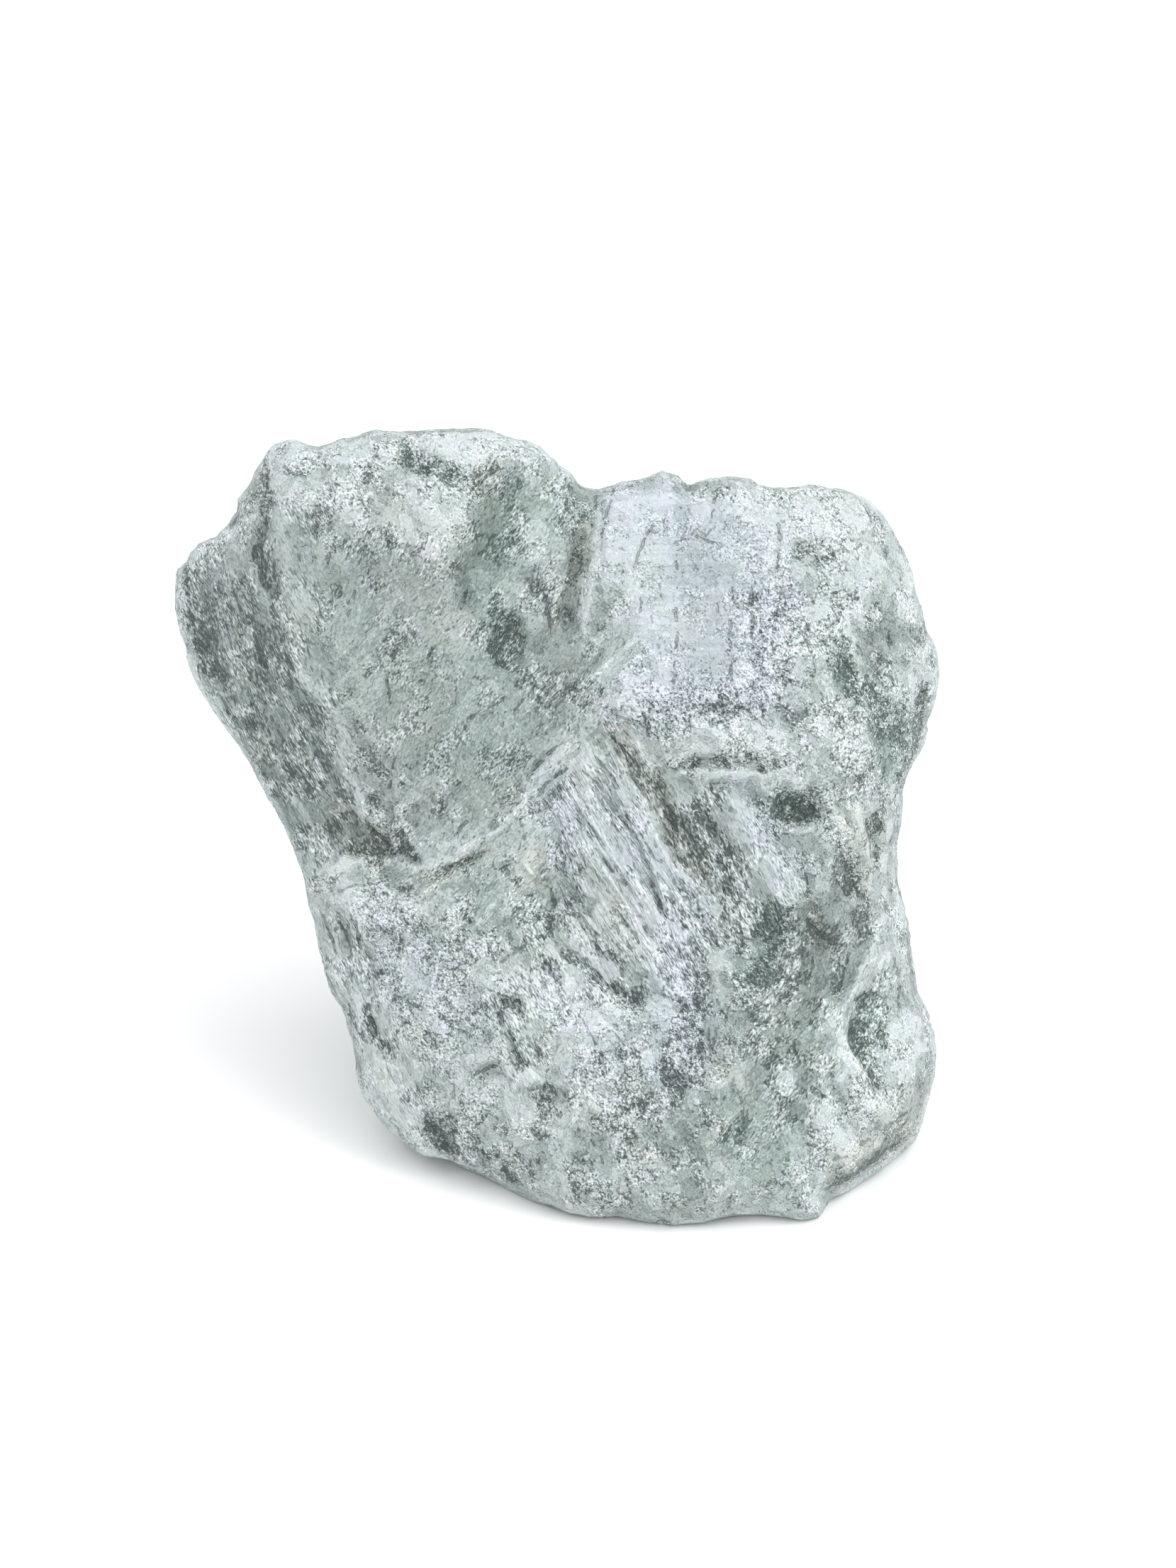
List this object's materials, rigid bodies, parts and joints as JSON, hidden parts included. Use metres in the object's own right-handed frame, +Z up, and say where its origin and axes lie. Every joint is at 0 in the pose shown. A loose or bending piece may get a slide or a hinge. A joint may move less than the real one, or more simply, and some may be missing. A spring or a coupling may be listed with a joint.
{
  "type": "soapstone boulder",
  "caption": "Raw, irregular soapstone boulder with a hollowed upper left, a forward-bulging foot and chisel-marked faces, standing on a flat resting face.",
  "frame": {"origin": "middle of the block's footprint box, on the level of its resting face", "axes": "+Z up; -Y is the worked front seen first; +X is to the right when the front is faced"},
  "size_m": [0.3036, 0.2292, 0.2723],
  "materials": {
    "soapstone": "rough split and chisel-marked, pale chalky bruises over grey-green stone"
  },
  "bodies": {
    "root": {"boulder": "soapstone"}
  },
  "joints": []
}
